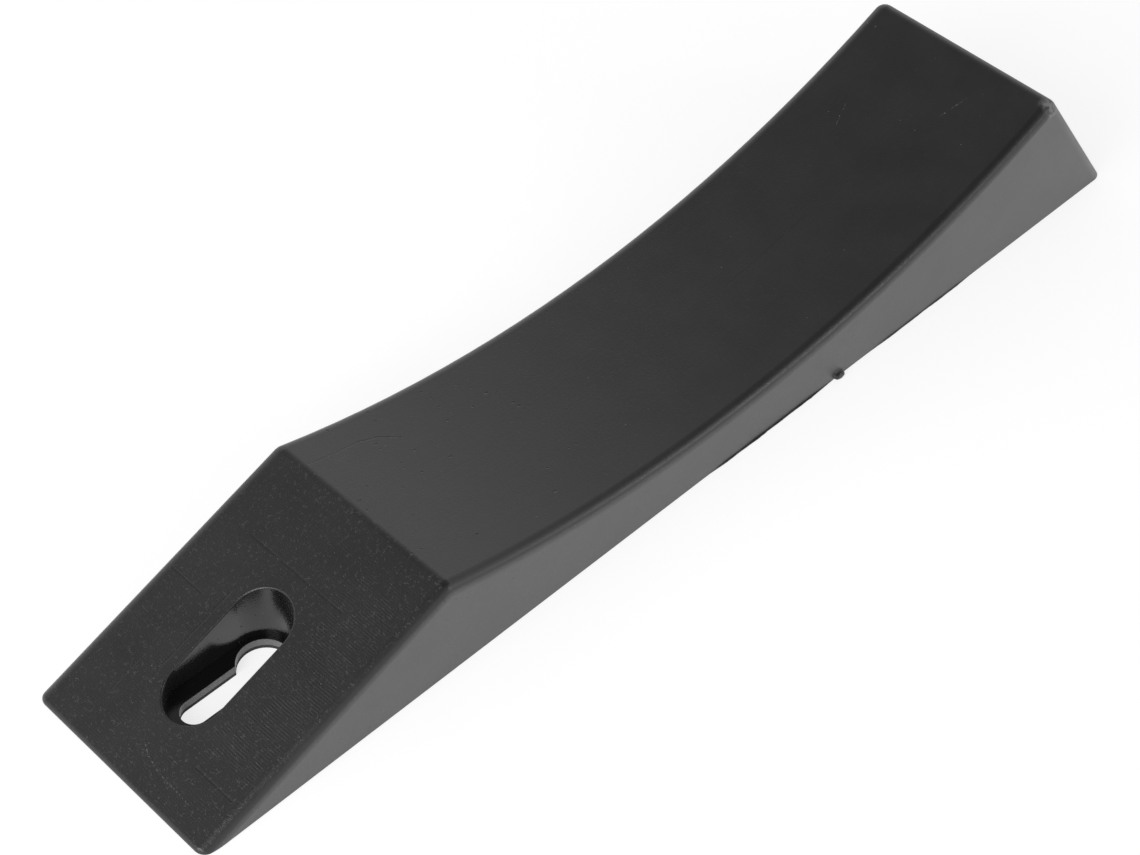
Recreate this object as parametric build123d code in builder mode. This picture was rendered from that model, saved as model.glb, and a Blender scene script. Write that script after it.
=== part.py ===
from build123d import *
import math
import os

os.makedirs("parts", exist_ok=True)

# A door wedge: a cored plastic moulding with a thin rubber sole let into its underside.
# Millimetres, +Z up, the floor at z = 0. X is the width. Y runs along the length, from the
# thin end at -Y to the thick end at +Y, with the origin at mid-length.

# Overall outline, seen from the side
length = 212.7          # along the floor
width = 40.0
lip_height = 0.8        # of the sloped face where it meets the thin end
ridge_run = 48.6        # thin end to the ridge, along the floor
ridge_height = 20.0
crest_height = 30.0     # top of the thick end
rear_run = 21.6         # how far the rear face leans back over its height
dish_radius = 200.0     # hollow top, from ridge to crest

# Edges
edge_radius = 2.0       # along both sides, from the thin end over the ridge and down the rear face
turn_radius = 2.1       # ridge and crest, a little over edge_radius, which rolls round them
front_corner = 2.2      # corners of the thin end
nose_radius = 0.8
pocket_rim_radius = 0.3

# Screw pocket and keyhole in the sloped face, places measured from the thin end
pocket_width = 10.6
pocket_near = 15.6      # centre of its rounded end nearest the thin end
entry_place = 27.9      # centre of the entry hole and of the pocket's other end
entry_diameter = 8.7
slot_width = 4.7
slot_place = 14.6       # centre of the narrow slot's rounded end
floor_height = 2.2      # pocket floor above the room's floor

# Coring of the underside
skin = 3.0              # under the sloped face, the hollow top and the rear face
side_wall = 3.0
boss_wall = 2.0         # around the pocket
rib = 1.6
spine = 2.0             # the rib along the middle
core_start = 10.0       # thin end to the first hollow
boss_rib_place = 25.7   # short ribs beside the pocket
first_rib_place = 36.4
rib_pitch = 21.4

# Sole
sole_thickness = 0.7
sole_proud = 0.2        # how far it stands below the moulding
sole_rim = 1.5          # moulding left around it at the sides and the rear
sole_front_rim = 3.0    # and at the thin end
sole_corner = 2.0
sole_gap = 0.1          # round its edge
keyhole_gap = 0.0       # round the keyhole, where the sole is punched flush with the moulding

# Places that follow from these
thin_end = -length / 2
thick_end = length / 2
rim_bottom = sole_proud
recess_top = sole_thickness
slope = (ridge_height - lip_height) / ridge_run
rear_lean = rear_run / (crest_height - rim_bottom)
reach = skin + 3.0      # how far the blank runs below the floor before it is trimmed
ridge = (thin_end + ridge_run, ridge_height)
crest = (thick_end - rear_run, crest_height)
blank_front = (thin_end - (reach + lip_height) / slope, -reach)
blank_rear = (thick_end + rear_lean * (reach + rim_bottom), -reach)
pocket_centre = thin_end + (pocket_near + entry_place) / 2
pocket_reach = entry_place - pocket_near
slot_centre = thin_end + (slot_place + entry_place) / 2
slot_reach = entry_place - slot_place
spine_start = first_rib_place - rib / 2


def side_profile():
    """Side view of the blank, run on below the floor, with the hollow top as one arc."""
    with BuildSketch(mode=Mode.PRIVATE) as profile:
        with BuildLine():
            Polyline(ridge, blank_front, blank_rear, crest)
            RadiusArc(crest, ridge, dish_radius)
        make_face()
    return profile.sketch


def keyhole(grow=0.0):
    """The entry hole and the narrow slot that leads from it, grown by a gap."""
    with BuildSketch(mode=Mode.PRIVATE) as outline:
        with Locations((0, slot_centre)):
            SlotCenterToCenter(slot_reach, slot_width + 2 * grow, rotation=90)
        with Locations((0, thin_end + entry_place)):
            Circle(entry_diameter / 2 + grow)
    return outline.sketch


def sole_outline(shrink=0.0):
    """Outline of the recess for the sole, or of the sole when shrunk by its gap."""
    run = length - sole_front_rim - sole_rim
    with BuildSketch(mode=Mode.PRIVATE) as outline:
        with Locations((0, thin_end + sole_front_rim + run / 2)):
            RectangleRounded(width - 2 * sole_rim - 2 * shrink, run - 2 * shrink, sole_corner - shrink)
    return outline.sketch


# The hollows under the moulding: its inner shape, less the ribs, the spine and the pocket's boss
with BuildPart() as coring:
    with BuildSketch(Plane.YZ):
        add(side_profile())
        offset(amount=-skin, kind=Kind.INTERSECTION)
    extrude(amount=width / 2 - side_wall, both=True)
    with BuildSketch(Plane.XY.offset(rim_bottom)):
        with Locations((0, thin_end + core_start)):
            Rectangle(width, length, align=(Align.CENTER, Align.MIN))
    extrude(amount=crest_height, mode=Mode.INTERSECT)
    with BuildSketch(Plane.XY.offset(rim_bottom)):
        with Locations((0, pocket_centre)):
            SlotCenterToCenter(pocket_reach, pocket_width + 2 * boss_wall, rotation=90)
        with Locations((0, thin_end + boss_rib_place)):
            Rectangle(width, rib)
        with Locations((0, thin_end + spine_start)):
            Rectangle(spine, length, align=(Align.CENTER, Align.MIN))
        rib_count = math.ceil((length - first_rib_place) / rib_pitch)
        for k in range(rib_count):
            with Locations((0, thin_end + first_rib_place + k * rib_pitch)):
                Rectangle(width, rib)
    extrude(amount=crest_height, mode=Mode.SUBTRACT)

# The moulding
with BuildPart() as wedge_body:
    with BuildSketch(Plane.YZ):
        add(side_profile())
    extrude(amount=width / 2, both=True)

    fillet(wedge_body.edges().filter_by(Axis.X).sort_by(Axis.Z)[-2:], radius=turn_radius)
    outline = wedge_body.faces().filter_by(Axis.X).edges().filter_by(lambda e: e.center().Z > 0)
    fillet(outline, radius=edge_radius)

    # Trimmed to the floor outline
    with BuildSketch(Plane.XY.offset(rim_bottom)) as plan:
        Rectangle(width, length)
        fillet(plan.vertices().group_by(Axis.Y)[0], radius=front_corner)
    extrude(amount=2 * crest_height, mode=Mode.INTERSECT)
    nose = wedge_body.edges().filter_by(Axis.Z, reverse=True)
    nose = nose.filter_by(lambda e: e.center().Y < thin_end + 1)
    nose = nose.filter_by(lambda e: e.center().Z > (rim_bottom + lip_height) / 2)
    fillet(nose, radius=nose_radius)

    # Pocket, its softened rim, and the keyhole through its floor
    with BuildSketch(Plane.XY.offset(floor_height)):
        with Locations((0, pocket_centre)):
            SlotCenterToCenter(pocket_reach, pocket_width, rotation=90)
    extrude(amount=crest_height, mode=Mode.SUBTRACT)
    rim = wedge_body.edges(Select.LAST).filter_by(Axis.Z, reverse=True)
    fillet(rim.filter_by(lambda e: e.center().Z > floor_height + 0.1), radius=pocket_rim_radius)
    with BuildSketch(Plane.XY):
        add(keyhole())
    extrude(amount=floor_height + 1, mode=Mode.SUBTRACT)

    # Recess for the sole, and the coring above it
    with BuildSketch(Plane.XY):
        add(sole_outline())
    extrude(amount=recess_top, mode=Mode.SUBTRACT)
    add(coring.part, mode=Mode.SUBTRACT)
wedge_body.part.label = "wedge_body"
export_step(wedge_body.part, "parts/wedge_body.step")

# The sole: a flat rubber sheet cut round the keyhole and bonded to the ribs and the recess
with BuildPart() as grip_sole:
    with BuildSketch(Plane.XY):
        add(sole_outline(shrink=sole_gap))
        add(keyhole(grow=keyhole_gap), mode=Mode.SUBTRACT)
    extrude(amount=sole_thickness)
grip_sole.part.label = "grip_sole"
export_step(grip_sole.part, "parts/grip_sole.step")
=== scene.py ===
import math

import bmesh
import bpy
from mathutils import Matrix, Vector, noise


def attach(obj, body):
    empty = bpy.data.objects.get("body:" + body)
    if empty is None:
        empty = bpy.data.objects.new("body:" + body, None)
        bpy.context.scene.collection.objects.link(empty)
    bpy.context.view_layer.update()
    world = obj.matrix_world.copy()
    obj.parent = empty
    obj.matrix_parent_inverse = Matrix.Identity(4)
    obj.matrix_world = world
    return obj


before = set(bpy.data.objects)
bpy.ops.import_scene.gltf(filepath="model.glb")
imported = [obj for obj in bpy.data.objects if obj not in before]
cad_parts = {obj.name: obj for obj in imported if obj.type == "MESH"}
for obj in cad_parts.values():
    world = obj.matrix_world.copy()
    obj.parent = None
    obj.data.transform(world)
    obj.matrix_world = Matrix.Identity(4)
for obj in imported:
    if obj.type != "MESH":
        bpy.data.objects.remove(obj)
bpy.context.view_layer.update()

# Metres, the CAD's frame: +Y from the thin end to the thick end, +X across, the floor at z = 0.
# Places in the materials are in millimetres of the same frame.
HALF_LENGTH = 106.35
HALF_WIDTH = 20.0
RIM = 0.2               # underside of the moulding
RIDGE_Y = -57.75
RIDGE_Z = 20.0
LIP = 0.8
SLOPE = (RIDGE_Z - LIP) / (HALF_LENGTH + RIDGE_Y)
POCKET_NEAR = -90.75
POCKET_FAR = -78.45
POCKET_HALF = 5.3
CUTTER_PITCH = 0.42     # of the faint tool lines on the slope
PRESS_PITCH = 1.5       # of the cloth mark on the sole
GATE_Y = 31.45
GATE_SIDES = 28
FLOOR_DROP = 0.00005    # metres, just clear of the sole's face

scene = bpy.context.scene
scene.view_settings.view_transform = "Standard"
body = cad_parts["wedge_body"]
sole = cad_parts["grip_sole"]


# ---- node helpers ----

class Nodes:
    """Builds one material's node tree with short calls."""

    def __init__(self, name):
        self.material = bpy.data.materials.new(name)
        self.material.use_nodes = True
        self.tree = self.material.node_tree
        self.tree.nodes.clear()
        self.out = self.tree.nodes.new("ShaderNodeOutputMaterial")

    def put(self, socket, value):
        if isinstance(value, bpy.types.NodeSocket):
            self.tree.links.new(value, socket)
        elif value is not None:
            socket.default_value = value

    def math(self, operation, a, b=None, c=None):
        node = self.tree.nodes.new("ShaderNodeMath")
        node.operation = operation
        for socket, value in zip(node.inputs, (a, b, c)):
            self.put(socket, value)
        return node.outputs[0]

    def add(self, a, b):
        return self.math("ADD", a, b)

    def sub(self, a, b):
        return self.math("SUBTRACT", a, b)

    def mul(self, a, b):
        return self.math("MULTIPLY", a, b)

    def largest(self, *values):
        result = values[0]
        for value in values[1:]:
            result = self.math("MAXIMUM", result, value)
        return result

    def ramp(self, value, start, end, low=0.0, high=1.0):
        """A smooth step of value from start to end. start may be above end."""
        node = self.tree.nodes.new("ShaderNodeMapRange")
        node.interpolation_type = "SMOOTHSTEP"
        if start > end:
            start, end, low, high = end, start, high, low
        for socket, item in zip(node.inputs, (value, start, end, low, high)):
            self.put(socket, item)
        return node.outputs[0]

    def band(self, value, low, high, soft):
        """1 between low and high, falling to 0 over soft outside them."""
        return self.mul(self.ramp(value, low - soft, low), self.ramp(value, high + soft, high))

    def line(self, value, place, half, soft):
        """1 on a line at place, half a width either side."""
        return self.ramp(self.math("ABSOLUTE", self.sub(value, place)), half + soft, half)

    def coords(self):
        """Object coordinates in millimetres: the vector and its three parts."""
        source = self.tree.nodes.new("ShaderNodeTexCoord")
        scaled = self.tree.nodes.new("ShaderNodeVectorMath")
        scaled.operation = "SCALE"
        scaled.inputs["Scale"].default_value = 1000.0
        self.tree.links.new(source.outputs["Object"], scaled.inputs[0])
        parts = self.tree.nodes.new("ShaderNodeSeparateXYZ")
        self.tree.links.new(scaled.outputs[0], parts.inputs[0])
        normal = self.tree.nodes.new("ShaderNodeSeparateXYZ")
        self.tree.links.new(source.outputs["Normal"], normal.inputs[0])
        self.p = scaled.outputs[0]
        self.x, self.y, self.z = parts.outputs
        self.nx, self.ny, self.nz = normal.outputs

    def stretched(self, x, y, z):
        """The coordinates scaled by a factor along each axis."""
        node = self.tree.nodes.new("ShaderNodeVectorMath")
        node.operation = "MULTIPLY"
        self.tree.links.new(self.p, node.inputs[0])
        node.inputs[1].default_value = (x, y, z)
        return node.outputs[0]

    def noise(self, scale, detail=2.0, rough=0.5, at=None):
        node = self.tree.nodes.new("ShaderNodeTexNoise")
        self.put(node.inputs["Vector"], at or self.p)
        self.put(node.inputs["Scale"], scale)
        self.put(node.inputs["Detail"], detail)
        self.put(node.inputs["Roughness"], rough)
        return node.outputs["Fac"]

    def cells(self, scale, at=None):
        """Distance to the nearest of scattered points, and that point's random colour."""
        node = self.tree.nodes.new("ShaderNodeTexVoronoi")
        self.put(node.inputs["Vector"], at or self.p)
        self.put(node.inputs["Scale"], scale)
        return node.outputs["Distance"], node.outputs["Color"]

    def specks(self, scale, size, share, at=None):
        """Small round marks in a share of the cells."""
        distance, colour = self.cells(scale, at)
        parts = self.tree.nodes.new("ShaderNodeSeparateColor")
        self.tree.links.new(colour, parts.inputs[0])
        chosen = self.ramp(parts.outputs[0], 1.0 - share - 0.01, 1.0 - share)
        radius = self.math("MULTIPLY_ADD", parts.outputs[1], size * 0.7, size * 0.3)
        mark = self.ramp(self.math("DIVIDE", distance, radius), 1.0, 0.5)
        return self.mul(chosen, mark)

    def blend(self, factor, a, b):
        node = self.tree.nodes.new("ShaderNodeMix")
        node.data_type = "RGBA"
        self.put(node.inputs[0], factor)
        for socket, value in ((node.inputs[6], a), (node.inputs[7], b)):
            if isinstance(value, tuple):
                value = (*value, 1.0)
            self.put(socket, value)
        return node.outputs[2]

    def segment(self, ends, half, soft):
        """1 along a thin scratch in plan, between two (x, y) ends."""
        (ax, ay), (bx, by) = ends
        run = math.hypot(bx - ax, by - ay)
        ux, uy = (bx - ax) / run, (by - ay) / run
        dx, dy = self.sub(self.x, ax), self.sub(self.y, ay)
        along = self.add(self.mul(dx, ux), self.mul(dy, uy))
        across = self.sub(self.mul(dx, uy), self.mul(dy, ux))
        thin = self.ramp(self.math("ABSOLUTE", across), half + soft, half)
        return self.mul(thin, self.band(along, 0.0, run, 0.8))

    def bump(self, height, strength, distance, under=None):
        node = self.tree.nodes.new("ShaderNodeBump")
        node.inputs["Strength"].default_value = strength
        node.inputs["Distance"].default_value = distance
        self.put(node.inputs["Height"], height)
        if under is not None:
            self.put(node.inputs["Normal"], under)
        return node.outputs[0]

    def surface(self, colour, roughness, normal=None, **constants):
        shader = self.tree.nodes.new("ShaderNodeBsdfPrincipled")
        self.put(shader.inputs["Base Color"], colour)
        self.put(shader.inputs["Roughness"], roughness)
        if normal is not None:
            self.put(shader.inputs["Normal"], normal)
        for name, value in constants.items():
            shader.inputs[name.replace("_", " ")].default_value = value
        self.tree.links.new(shader.outputs[0], self.out.inputs[0])
        return shader


# ---- moulded plastic ----

def moulding_material():
    n = Nodes("satin_moulded_plastic")
    n.coords()
    plane_z = n.math("MULTIPLY_ADD", n.add(n.y, HALF_LENGTH), SLOPE, LIP)   # height of the slope's plane at y
    below = n.sub(plane_z, n.z)                                             # depth under that plane
    up = n.ramp(n.nz, 0.75, 0.9)
    on_slope = n.mul(up, n.mul(n.ramp(n.y, RIDGE_Y + 0.3, RIDGE_Y - 0.6), n.ramp(below, 0.6, 0.3)))
    near_ridge = n.band(n.y, RIDGE_Y, -30.0, 14.0)
    on_top = n.mul(up, n.ramp(n.y, RIDGE_Y - 0.3, RIDGE_Y + 0.6))
    on_side = n.ramp(n.math("ABSOLUTE", n.nx), 0.8, 0.95)

    # The pocket: inside its walls and below the slope's plane
    over = n.math("MAXIMUM", n.sub(POCKET_NEAR, n.y), n.sub(n.y, POCKET_FAR))
    over = n.math("MAXIMUM", over, 0.0)
    reach = n.math("SQRT", n.add(n.mul(n.x, n.x), n.mul(over, over)))
    in_pocket = n.mul(n.ramp(reach, POCKET_HALF + 0.35, POCKET_HALF + 0.1), n.ramp(below, 0.1, 0.35))
    in_keyhole = n.mul(in_pocket, n.ramp(n.z, 2.16, 2.06))

    # Faint cutter lines of the mould across the slope, stronger to one side
    waver = n.noise(0.09, 1.0, at=n.stretched(1.0, 0.3, 0.3))
    wave = n.math("SINE", n.mul(n.add(n.y, n.mul(waver, 1.6)), 2 * math.pi / CUTTER_PITCH))
    cuts = n.noise(1.0, 2.0, 0.6, at=n.stretched(0.012, 3.1, 0.0))
    where = n.add(0.25, n.mul(0.75, n.mul(n.ramp(n.x, 5.0, 10.0), n.band(n.y, -93.0, -66.0, 5.0))))
    patchy = n.mul(n.ramp(n.noise(0.5, 3.0, 0.7), 0.38, 0.62), n.ramp(n.math("ABSOLUTE", n.x), 18.3, 16.8))
    tool_lines = n.mul(n.mul(n.add(n.mul(wave, 0.35), cuts), where), n.mul(on_slope, patchy))
    top_lines = n.mul(n.noise(1.0, 2.0, 0.6, at=n.stretched(2.4, 0.01, 0.0)), on_top)

    # Read-through of the ribs under the skin
    y0 = -HALF_LENGTH
    marks = n.largest(
        n.mul(n.line(n.y, y0 + 36.4, 0.10, 0.16), n.band(n.x, -11.2, 9.2, 0.5)),
        n.mul(n.line(n.y, y0 + 25.7, 0.08, 0.16), n.band(n.x, -19.0, -11.0, 0.5)),
        n.mul(n.line(n.y, y0 + 7.85, 0.08, 0.14), n.band(n.x, 9.2, 17.0, 0.5)),
        n.mul(n.line(n.x, -7.3, 0.10, 0.16), n.band(n.y, y0 + 14.0, y0 + 28.6, 0.6)),
        n.mul(n.line(n.x, -10.9, 0.08, 0.14), n.band(n.y, y0 + 7.9, y0 + 14.0, 0.5)),
    )
    marks = n.mul(marks, on_slope)
    spine = n.largest(n.band(n.y, y0 + 63.0, y0 + 74.0, 3.0), n.band(n.y, y0 + 132.0, y0 + 148.0, 3.0))
    spine = n.mul(n.mul(n.line(n.x, 0.0, 0.1, 0.3), n.mul(n.add(0.3, spine), 0.28)), on_top)
    pimples = n.mul(n.mul(n.specks(0.9, 0.26, 0.2, at=n.stretched(1.0, 0.6, 0.0)), near_ridge), on_top)

    # Handling: specks, pits, scuffs and scratches
    specks = n.specks(0.6, 0.085, 0.14)
    near_ends = n.add(0.5, n.largest(n.band(n.y, -70.0, -56.0, 4.0), n.band(n.y, -106.0, -99.0, 3.0)))
    dust = n.mul(n.mul(specks, near_ends), n.largest(on_slope, n.mul(on_top, 0.8)))
    fine_dust = n.mul(n.specks(1.5, 0.12, 0.06), n.largest(n.mul(on_slope, 0.5), n.mul(on_top, 0.22)))
    hairline = n.mul(n.largest(
        n.segment(((-10.6, y0 + 65.6), (-12.4, y0 + 62.9)), 0.04, 0.10),
        n.segment(((-12.4, y0 + 62.9), (-13.3, y0 + 59.5)), 0.04, 0.10),
        n.segment(((-13.3, y0 + 59.5), (-13.1, y0 + 50.0)), 0.04, 0.10),
    ), on_top)
    scratches = n.largest(
        n.mul(n.segment(((-1.0, y0 + 6.0), (1.4, y0 + 4.7)), 0.03, 0.12), 0.8),
        n.mul(n.segment(((1.4, y0 + 4.7), (5.0, y0 + 3.9)), 0.03, 0.12), 0.8),
        n.mul(n.segment(((5.0, y0 + 3.9), (12.0, y0 + 3.6)), 0.03, 0.12), 0.6),
        n.mul(n.segment(((5.0, y0 + 179.0), (6.4, y0 + 183.5)), 0.05, 0.12), 0.8),
        n.mul(n.segment(((-10.3, y0 + 171.4), (-9.1, y0 + 168.0)), 0.05, 0.12), 0.8),
    )
    broken = n.ramp(n.noise(2.6, 3.0, 0.75), 0.54, 0.62)
    scratches = n.mul(n.mul(scratches, n.largest(on_slope, on_top)), broken)
    rough_patch = n.ramp(n.noise(1.7, 4.0, 0.65), 0.56, 0.72)
    ridge_scuff = n.mul(n.line(n.y, RIDGE_Y, 0.5, 0.9), rough_patch)
    corner = n.mul(n.ramp(n.x, 16.8, 18.6), n.mul(n.ramp(n.y, 82.0, 83.6), n.ramp(n.z, 26.5, 27.6)))
    corner = n.mul(corner, n.ramp(n.noise(0.9, 4.0, 0.7), 0.36, 0.56))
    wear = n.largest(n.mul(ridge_scuff, 0.12), corner)

    # Satin grain, coarser on the sides, with slow mottling
    grain = n.noise(3.2, 3.0, 0.6)
    pits = n.mul(n.specks(0.95, 0.18, 0.3), on_side)
    slow = n.noise(0.11, 3.0, 0.55)
    mottle = n.noise(0.35, 3.0, 0.6)

    base = n.blend(n.ramp(slow, 0.3, 0.7), (0.0075, 0.0075, 0.0078), (0.0105, 0.0105, 0.0108))
    # Painted reflection: the side faces get a lighter grey base, standing in for the pale floor and walls
    # they reflect at a glancing angle.
    side_painted_sheen = n.mul(on_side, n.add(0.62, n.mul(n.ramp(mottle, 0.2, 0.8), 0.2)))
    base = n.blend(side_painted_sheen, base, (0.054, 0.054, 0.055))
    fleck = n.mul(n.ramp(n.noise(1.7, 4.0, 0.75), 0.55, 0.72), n.sub(1.0, in_pocket))
    fleck_strength = n.add(0.06, n.mul(n.largest(on_slope, on_side), 0.12))
    base = n.blend(n.mul(fleck, fleck_strength), base, (0.055, 0.055, 0.056))
    base = n.blend(n.mul(n.mul(fleck, on_side), 0.45), base, (0.10, 0.10, 0.101))
    # Painted shade: the pits on the sides are also painted darker, as shade inside the dents.
    base = n.blend(n.mul(pits, 0.5), base, (0.018, 0.018, 0.018))
    # Painted shade: the sunk rib marks, spine line, hairline and dents near the ridge are also painted
    # near-black, as shade in these hollows.
    base = n.blend(n.mul(n.largest(marks, spine, hairline, pimples), 0.6), base, (0.003, 0.003, 0.003))
    base = n.blend(n.mul(n.largest(wear, n.mul(scratches, 0.8)), 0.7), base, (0.24, 0.24, 0.243))
    base = n.blend(n.mul(n.largest(dust, fine_dust), 0.85), base, (0.42, 0.42, 0.42))
    # Painted shade: the pocket's walls and floor are painted darker than the moulding around them.
    base = n.blend(in_pocket, base, (0.004, 0.004, 0.004))
    pocket_grain = n.mul(in_pocket, n.specks(1.3, 0.14, 0.16))
    base = n.blend(n.mul(pocket_grain, n.mul(n.ramp(n.y, -80.0, -75.0), 0.7)), base, (0.2, 0.2, 0.2))
    # Painted light: the keyhole's wall below the pocket floor is painted light grey, standing in for the
    # light that falls on it.
    base = n.blend(in_keyhole, base, (0.16, 0.16, 0.162))

    rough = n.add(0.33, n.mul(0.10, slow))
    rough = n.add(rough, n.mul(n.sub(mottle, 0.5), 0.06))
    rough = n.add(rough, n.mul(0.18, wear))
    rough = n.sub(rough, n.mul(in_pocket, 0.25))

    height = n.add(n.mul(grain, 0.7), n.mul(tool_lines, 1.2))
    height = n.add(height, n.mul(top_lines, 0.35))
    height = n.sub(height, n.mul(pits, 2.2))
    sunk = n.largest(n.mul(marks, 0.8), n.mul(spine, 0.5), n.mul(hairline, 0.3), pimples)
    height = n.sub(height, sunk)
    height = n.sub(height, n.mul(scratches, 0.8))
    height = n.add(height, n.mul(n.largest(dust, fine_dust), 1.0))
    height = n.add(height, n.mul(mottle, 0.08))
    height = n.add(height, n.mul(fleck, n.add(0.3, n.mul(on_slope, 0.5))))
    dents = n.sub(0.0, n.largest(pimples, n.mul(hairline, 0.4), n.mul(pits, 0.3)))
    normal = n.bump(height, 0.6, 0.00005, under=n.bump(dents, 0.7, 0.00015))
    n.surface(base, rough, normal, IOR=1.6, Sheen_Weight=0.08, Sheen_Roughness=0.4)
    return n.material


# ---- rubber ----

def rubber_material():
    n = Nodes("matt_rubber_sheet")
    n.coords()
    under = n.ramp(n.nz, -0.8, -0.95)
    # A fine woven press mark on the face that grips the floor
    across = n.math("SINE", n.mul(n.add(n.x, n.y), 2 * math.pi / PRESS_PITCH))
    along = n.math("SINE", n.mul(n.sub(n.x, n.y), 2 * math.pi / PRESS_PITCH))
    cloth = n.mul(n.mul(across, along), under)
    grain = n.noise(2.6, 4.0, 0.65)
    slow = n.noise(0.08, 3.0, 0.6)
    dust = n.specks(0.5, 0.1, 0.1)
    base = n.blend(n.ramp(slow, 0.3, 0.7), (0.022, 0.022, 0.022), (0.034, 0.033, 0.032))
    base = n.blend(n.mul(n.ramp(cloth, 0.2, 0.9), 0.35), base, (0.05, 0.049, 0.047))
    base = n.blend(n.mul(dust, 0.5), base, (0.2, 0.19, 0.18))
    rough = n.add(0.62, n.mul(0.2, grain))
    height = n.add(n.mul(cloth, 0.8), n.mul(grain, 0.5))
    n.surface(base, rough, n.bump(height, 0.5, 0.00008), IOR=1.5)
    return n.material


def use(piece, material):
    piece.data.materials.clear()
    piece.data.materials.append(material)


plastic = moulding_material()
use(body, plastic)
use(sole, rubber_material())


# ---- moulding marks along the foot of the right side ----

def mesh_piece(name, rings, material):
    """A closed loft through rings of points in millimetres."""
    bm = bmesh.new()
    rows = [[bm.verts.new(Vector(p) / 1000.0) for p in ring] for ring in rings]
    count = len(rings[0])
    for a, b in zip(rows, rows[1:]):
        for k in range(count):
            bm.faces.new((a[k], a[(k + 1) % count], b[(k + 1) % count], b[k]))
    bm.faces.new(rows[0])
    bm.faces.new(rows[-1])
    bmesh.ops.recalc_face_normals(bm, faces=bm.faces)
    mesh = bpy.data.meshes.new(name)
    bm.to_mesh(mesh)
    bm.free()
    mesh.polygons.foreach_set("use_smooth", [True] * len(mesh.polygons))
    piece = bpy.data.objects.new(name, mesh)
    scene.collection.objects.link(piece)
    use(piece, material)
    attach(piece, "root")


def flash_rings(start, end, most, seed):
    """A thin fin of flash, trimmed by hand so that its edge wanders."""
    steps = int((end - start) / 0.35)
    rings = []
    for k in range(steps + 1):
        t = k / steps
        y = start + (end - start) * t
        swell = min(1.0, 5 * t, 5 * (1 - t))
        wander = 0.5 + 0.5 * noise.noise(Vector((y * 0.23, seed, 0.0)))
        nick = 0.5 + 0.5 * noise.noise(Vector((y * 1.3, seed, 4.0)))
        out = max(0.02, swell * most * (0.25 + 0.6 * wander + 0.25 * nick))
        root, tip = HALF_WIDTH - 0.12, HALF_WIDTH + out
        rings.append([
            (root, y, RIM + 0.02), (tip - 0.03, y, RIM + 0.01), (tip, y, RIM + 0.06),
            (tip - 0.04, y, RIM + 0.12), (HALF_WIDTH + 0.3 * out, y, RIM + 0.16), (root, y, RIM + 0.26),
        ])
    return rings


mesh_piece("flash_front", flash_rings(-1.4, 31.0, 0.42, 1.0), plastic)
mesh_piece("flash_rear", flash_rings(38.0, 69.0, 0.26, 7.0), plastic)


def gate_rings():
    """The stub left where the sprue was cut off: wide at its root, with a ragged face."""
    rings = []
    for depth, half, low, high in ((-0.15, 1.5, 0.21, 1.8), (0.0, 1.35, 0.21, 1.6), (0.25, 1.2, 0.21, 1.45),
                                   (0.5, 1.1, 0.22, 1.35), (0.7, 0.95, 0.27, 1.25), (0.82, 0.75, 0.36, 1.12),
                                   (0.89, 0.5, 0.48, 0.98), (0.92, 0.22, 0.62, 0.84)):
        middle, tall = (low + high) / 2, (high - low) / 2
        ring = []
        for k in range(GATE_SIDES):
            a = 2 * math.pi * k / GATE_SIDES
            c, s = math.cos(a), math.sin(a)
            y = GATE_Y + half * math.copysign(abs(c) ** 0.8, c)
            z = middle + tall * math.copysign(abs(s) ** 0.8, s)
            rag = 0.06 * noise.noise(Vector((y * 2.0, z * 2.0, depth * 3.0)))
            ring.append((HALF_WIDTH + depth + rag, y, z))
        rings.append(ring)
    return rings


mesh_piece("gate_stub", gate_rings(), plastic)


# ---- floor, light and camera ----

def floor_material():
    n = Nodes("white_floor")
    path = n.tree.nodes.new("ShaderNodeLightPath")
    diffuse = n.tree.nodes.new("ShaderNodeBsdfDiffuse")
    camera_ray = path.outputs["Is Camera Ray"]
    n.put(diffuse.inputs[0], n.blend(camera_ray, (0.86, 0.86, 0.86), (0.32, 0.32, 0.32)))
    n.coords()
    away = n.math("SQRT", n.add(n.mul(n.x, n.x), n.math("POWER", n.mul(n.y, 0.55), 2.0)))
    # Painted light: near the object the floor also glows for glossy rays, brightening what the moulding's
    # sides and edges reflect.
    near = n.mul(path.outputs["Is Glossy Ray"], n.ramp(away, 150.0, 50.0))
    lift = n.tree.nodes.new("ShaderNodeEmission")
    n.put(lift.inputs["Strength"], n.add(n.mul(camera_ray, 0.77), n.mul(near, 0.45)))
    both = n.tree.nodes.new("ShaderNodeAddShader")
    n.tree.links.new(diffuse.outputs[0], both.inputs[0])
    n.tree.links.new(lift.outputs[0], both.inputs[1])
    # Seen from below the floor is clear, so that the sole can be looked at
    geometry = n.tree.nodes.new("ShaderNodeNewGeometry")
    clear = n.tree.nodes.new("ShaderNodeBsdfTransparent")
    either = n.tree.nodes.new("ShaderNodeMixShader")
    n.put(either.inputs[0], n.mul(geometry.outputs["Backfacing"], camera_ray))
    n.tree.links.new(both.outputs[0], either.inputs[1])
    n.tree.links.new(clear.outputs[0], either.inputs[2])
    n.tree.links.new(either.outputs[0], n.out.inputs[0])
    return n.material


bm = bmesh.new()
bmesh.ops.create_grid(bm, x_segments=2, y_segments=2, size=4.0)
floor_mesh = bpy.data.meshes.new("floor")
bm.to_mesh(floor_mesh)
bm.free()
floor = bpy.data.objects.new("floor", floor_mesh)
floor.data.materials.append(floor_material())
floor.location.z = -FLOOR_DROP
scene.collection.objects.link(floor)

world = bpy.data.worlds.new("studio")
scene.world = world
world.use_nodes = True
tree = world.node_tree
tree.nodes.clear()


def world_node(kind, **settings):
    node = tree.nodes.new(kind)
    for name, value in settings.items():
        setattr(node, name, value)
    return node


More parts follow.
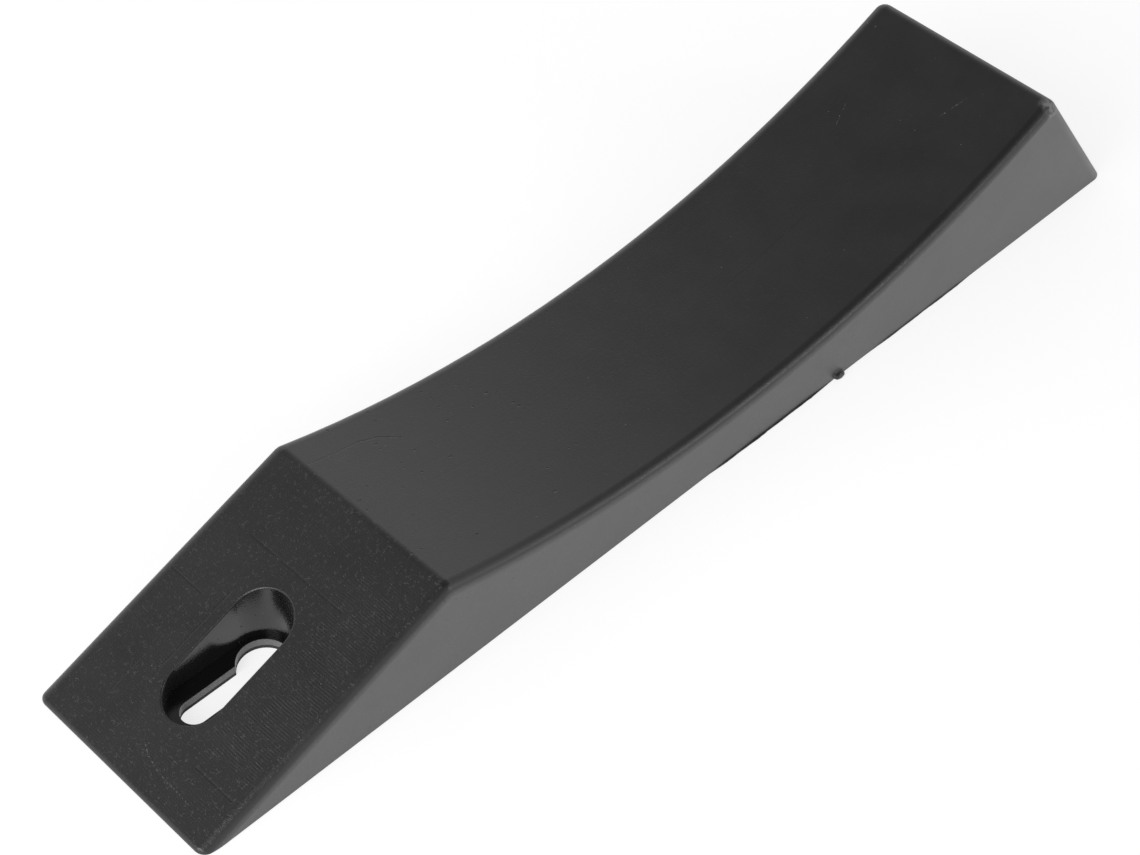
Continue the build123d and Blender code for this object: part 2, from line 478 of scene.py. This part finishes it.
def world_step(value, start, end, most):
    """A smooth step from 0 at start to most at end."""
    node = world_node("ShaderNodeMapRange", interpolation_type="SMOOTHSTEP")
    for socket, number in zip(node.inputs[1:5], (start, end, 0.0, most)):
        socket.default_value = number
    tree.links.new(value, node.inputs[0])
    return node


# White walls near the horizon, a darker ceiling, and a faint glow high up on the left
path = world_node("ShaderNodeLightPath")
where = world_node("ShaderNodeTexCoord")
parts = world_node("ShaderNodeSeparateXYZ")
tree.links.new(where.outputs["Generated"], parts.inputs[0])
walls = world_node("ShaderNodeValToRGB")
walls.color_ramp.interpolation = "B_SPLINE"
stops = walls.color_ramp.elements
stops[0].position, stops[0].color = 0.0, (0.9, 0.9, 0.9, 1.0)
stops[1].position, stops[1].color = 1.0, (0.12, 0.12, 0.12, 1.0)
for position, level in ((0.3, 1.3), (0.55, 0.78), (0.78, 0.12)):
    stop = stops.new(position)
    stop.color = (level, level, level, 1.0)
tree.links.new(parts.outputs[2], walls.inputs[0])
panel = world_step(parts.outputs[0], 0.1, -0.55, 0.16)
high = world_step(parts.outputs[2], 0.45, 0.8, 1.0)
glow = world_node("ShaderNodeMath", operation="MULTIPLY")
tree.links.new(panel.outputs[0], glow.inputs[0])
tree.links.new(high.outputs[0], glow.inputs[1])
lit = world_node("ShaderNodeMix", data_type="RGBA", blend_type="ADD")
lit.inputs[0].default_value = 1.0
tree.links.new(walls.outputs[0], lit.inputs[6])
tree.links.new(glow.outputs[0], lit.inputs[7])
seen = world_node("ShaderNodeMix", data_type="RGBA")
seen.inputs[7].default_value = (1.0, 1.0, 1.0, 1.0)
tree.links.new(path.outputs["Is Camera Ray"], seen.inputs[0])
tree.links.new(lit.outputs[2], seen.inputs[6])
sky = world_node("ShaderNodeBackground")
tree.links.new(seen.outputs[2], sky.inputs[0])
sky.inputs[1].default_value = 1.0
tree.links.new(sky.outputs[0], world_node("ShaderNodeOutputWorld").inputs[0])


def softbox(name, place, size, power):
    """A square area lamp at a place, facing the object."""
    data = bpy.data.lights.new(name, "AREA")
    data.size = size
    data.energy = power
    lamp = bpy.data.objects.new(name, data)
    lamp.location = place
    aim = Vector((0.0, 0.0, 0.01)) - Vector(place)
    lamp.rotation_euler = aim.to_track_quat("-Z", "Y").to_euler()
    scene.collection.objects.link(lamp)


softbox("key", (0.1, -0.5, 0.32), 0.3, 1.75)
softbox("side", (1.1, 0.72, 0.66), 0.28, 1.6)

camera_data = bpy.data.cameras.new("camera")
camera_data.sensor_width = 36.0
camera_data.lens = 75.6
camera_data.clip_start = 0.01
camera = bpy.data.objects.new("camera", camera_data)
turn = Matrix.Rotation(0.56721, 4, "Y") @ Matrix.Rotation(0.505, 4, "X") @ Matrix.Rotation(0.94618, 4, "Z")
camera.matrix_world = Matrix.Translation((0.1845, -0.20295, 0.2949)) @ turn
scene.collection.objects.link(camera)
scene.camera = camera
